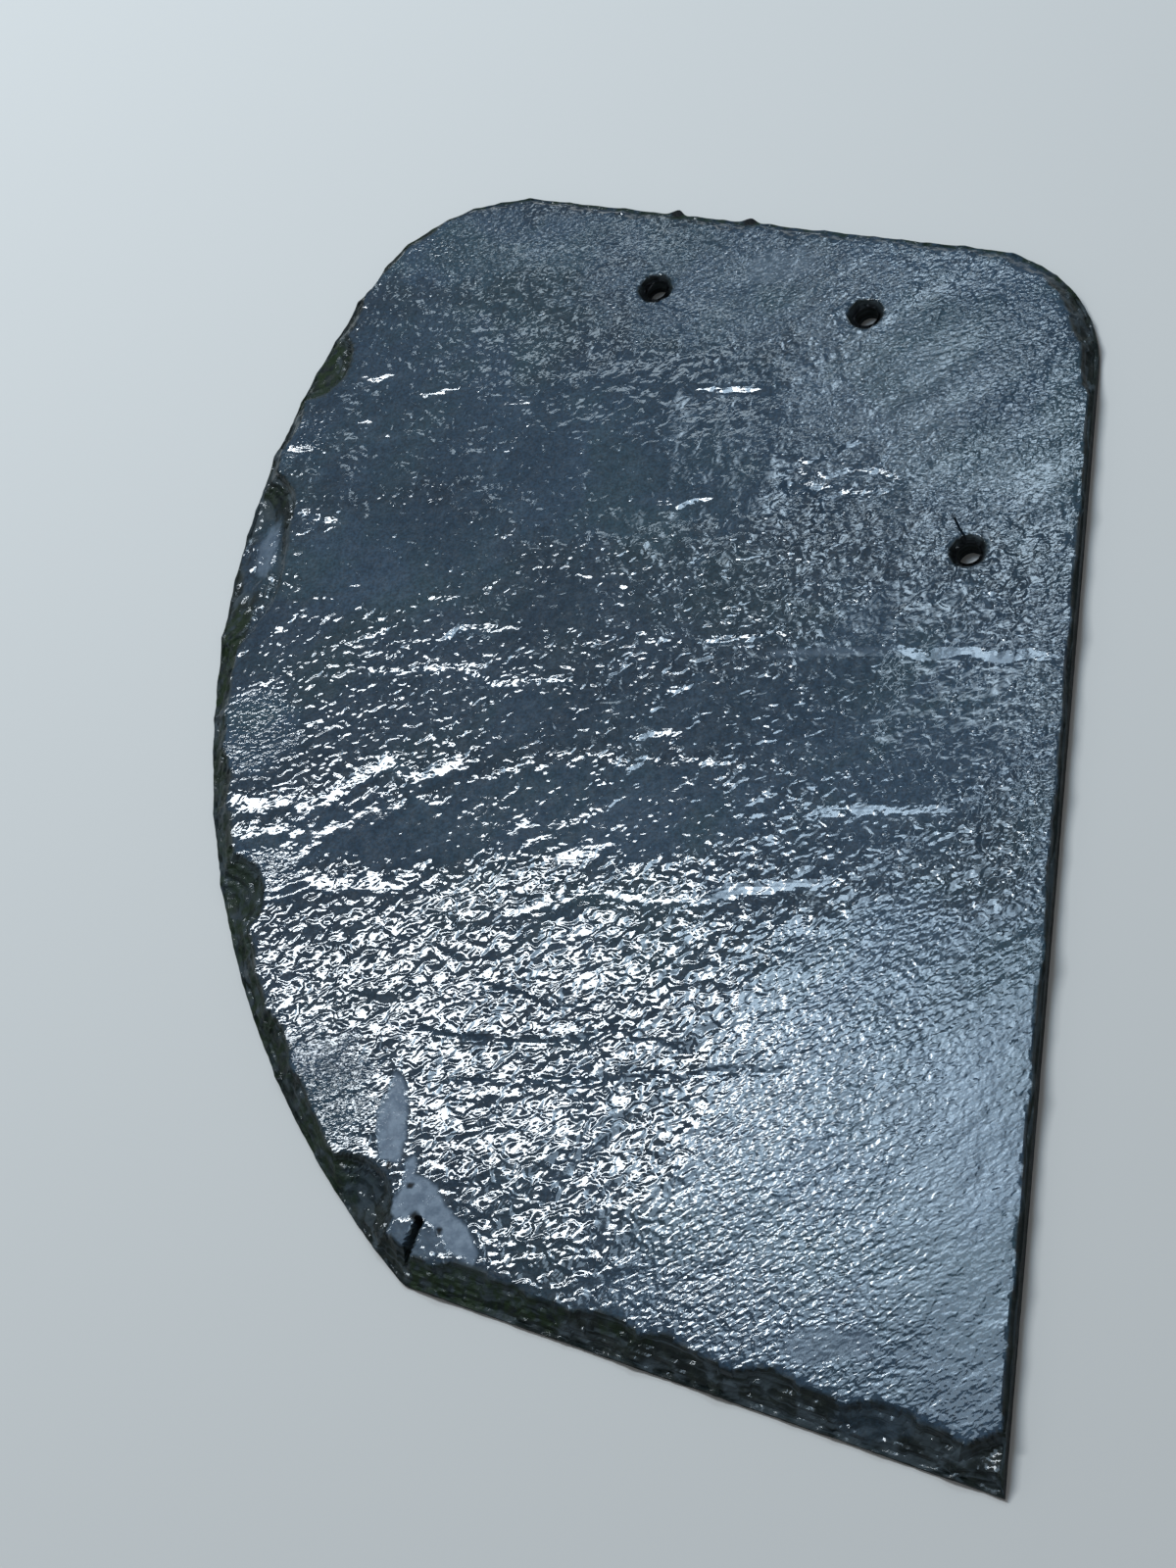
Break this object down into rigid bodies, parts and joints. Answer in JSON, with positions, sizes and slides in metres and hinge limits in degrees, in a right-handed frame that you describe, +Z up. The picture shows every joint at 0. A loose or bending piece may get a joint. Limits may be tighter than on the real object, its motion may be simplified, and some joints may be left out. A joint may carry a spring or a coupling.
{
  "type": "slate roof tile",
  "caption": "Scale-shaped roof slate with a straight right edge, a curved left edge, hand-dressed bevelled edges and punched nail holes near its head.",
  "frame": {"origin": "on the plane of the flat back face, at the middle of the slate's bounding rectangle", "axes": "+Z up out of the dressed face, +Y up the slate along its straight edge from foot to head, +X from the curved back edge to the straight edge"},
  "size_m": [0.2134, 0.3288, 0.006],
  "materials": {
    "slate": "riven, wet"
  },
  "bodies": {
    "root": {"scale_slate": "slate"}
  },
  "joints": []
}
